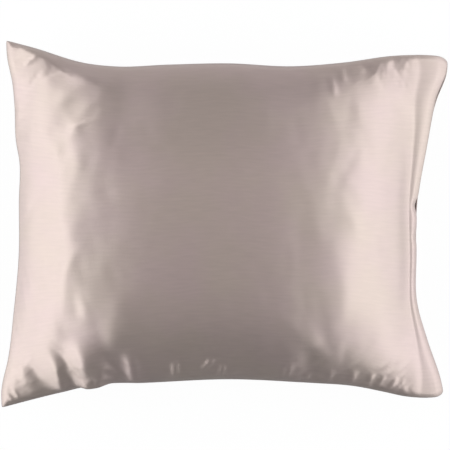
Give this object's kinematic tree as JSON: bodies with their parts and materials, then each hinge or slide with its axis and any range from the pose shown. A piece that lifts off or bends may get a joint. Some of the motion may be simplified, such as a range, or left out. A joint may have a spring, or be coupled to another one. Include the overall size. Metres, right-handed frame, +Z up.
{
  "type": "pillowcase",
  "caption": "Filled satin pillowcase lying on its back, with a crowned front, drawn-in sides, folds along its seams and an open mouth at one end.",
  "frame": {"origin": "on the surface that the case rests on, under the middle of its box", "axes": "+X from the closed end towards the mouth, +Y across the case, +Z up, out of its front"},
  "size_m": [0.5936, 0.4892, 0.159],
  "materials": {
    "satin": "warm grey-beige satin with a soft shine"
  },
  "bodies": {
    "root": {"pillowcase": "satin"}
  },
  "joints": []
}
